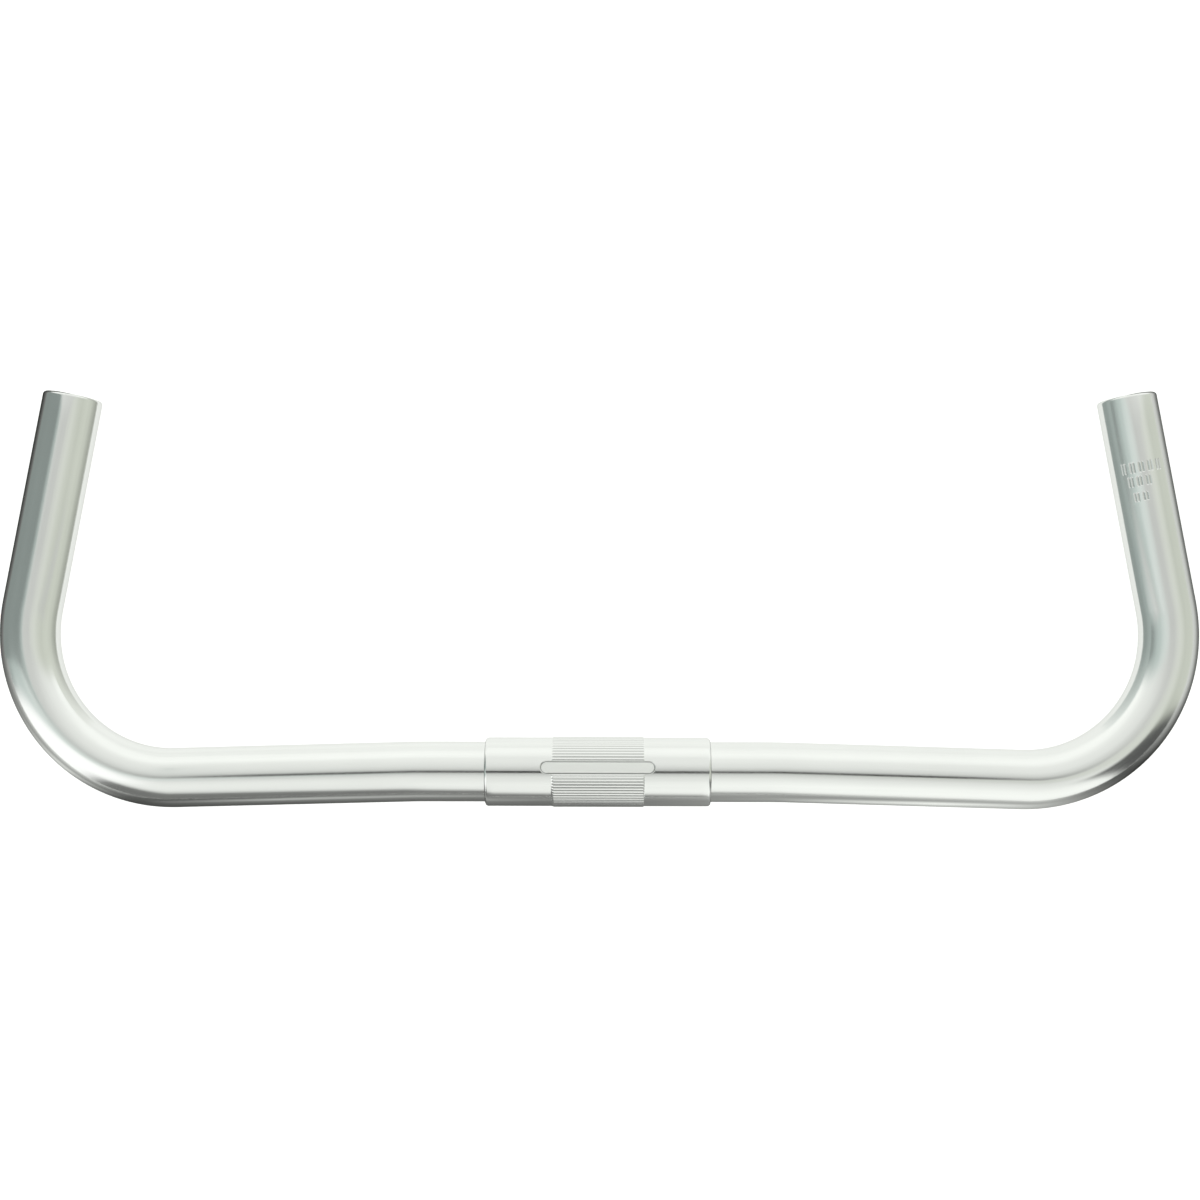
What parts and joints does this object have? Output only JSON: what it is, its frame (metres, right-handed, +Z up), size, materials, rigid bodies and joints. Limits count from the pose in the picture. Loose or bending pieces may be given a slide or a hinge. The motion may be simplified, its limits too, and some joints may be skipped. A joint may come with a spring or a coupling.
{
  "type": "bullhorn handlebar",
  "caption": "Bullhorn bicycle handlebar: a bent aluminium tube whose open-ended horns reach forward, with a ribbed clamp sleeve at its middle.",
  "frame": {"origin": "middle of the clamp seat, on the axis of the clamp sleeve", "axes": "+X along the clamp axis to the rider's right, +Y forward, the way the horns reach, +Z up"},
  "size_m": [0.4518, 0.1572, 0.0324],
  "materials": {
    "polished_aluminium": "buffed bright and clear anodised, with faint lengthwise drawing lines",
    "buffed_aluminium": "buffed satin, with rolled lengthwise ribs round the middle"
  },
  "bodies": {
    "root": {"bar_tube": "polished_aluminium", "clamp_sleeve": "buffed_aluminium"}
  },
  "joints": []
}
